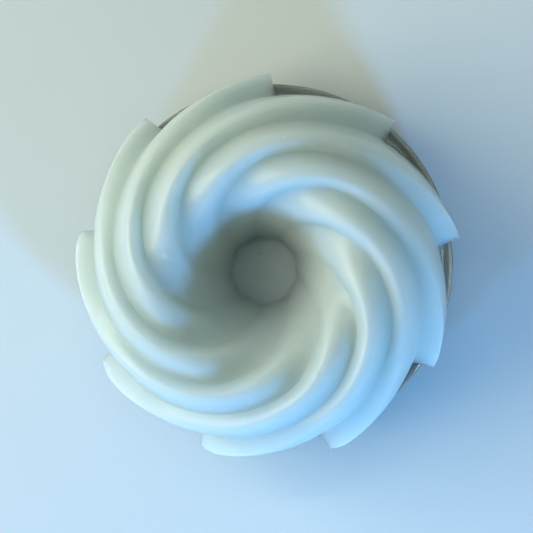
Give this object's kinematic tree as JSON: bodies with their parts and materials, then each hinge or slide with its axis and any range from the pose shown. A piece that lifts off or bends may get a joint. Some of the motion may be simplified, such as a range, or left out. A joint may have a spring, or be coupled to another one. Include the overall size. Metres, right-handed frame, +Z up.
{
  "type": "shaving soap puck",
  "caption": "Swirl-fluted cast shaving soap puck with a funnel-shaped centre well, resting on the rim of a shallow clear glass dish.",
  "frame": {"origin": "middle of the glass dish's foot, on the surface it stands on", "axes": "+Z up, out of the soap's well; X and Y lie in the resting surface, with a fin tip of the soap about 10 degrees round from +X"},
  "size_m": [0.0871, 0.0861, 0.0446],
  "materials": {
    "clear_glass": "clear pressed glass, fire-polished",
    "white_soap": "smooth milky cast soap, soft semi-gloss, slightly translucent"
  },
  "bodies": {
    "dish": {"glass_dish": "clear_glass"},
    "puck": {"soap_puck": "white_soap"}
  },
  "joints": [
    {"name": "puck_lift", "type": "slide", "parent": "dish", "child": "puck", "axis": [0, 0, 1], "range_m": [0, 0.05]}
  ]
}
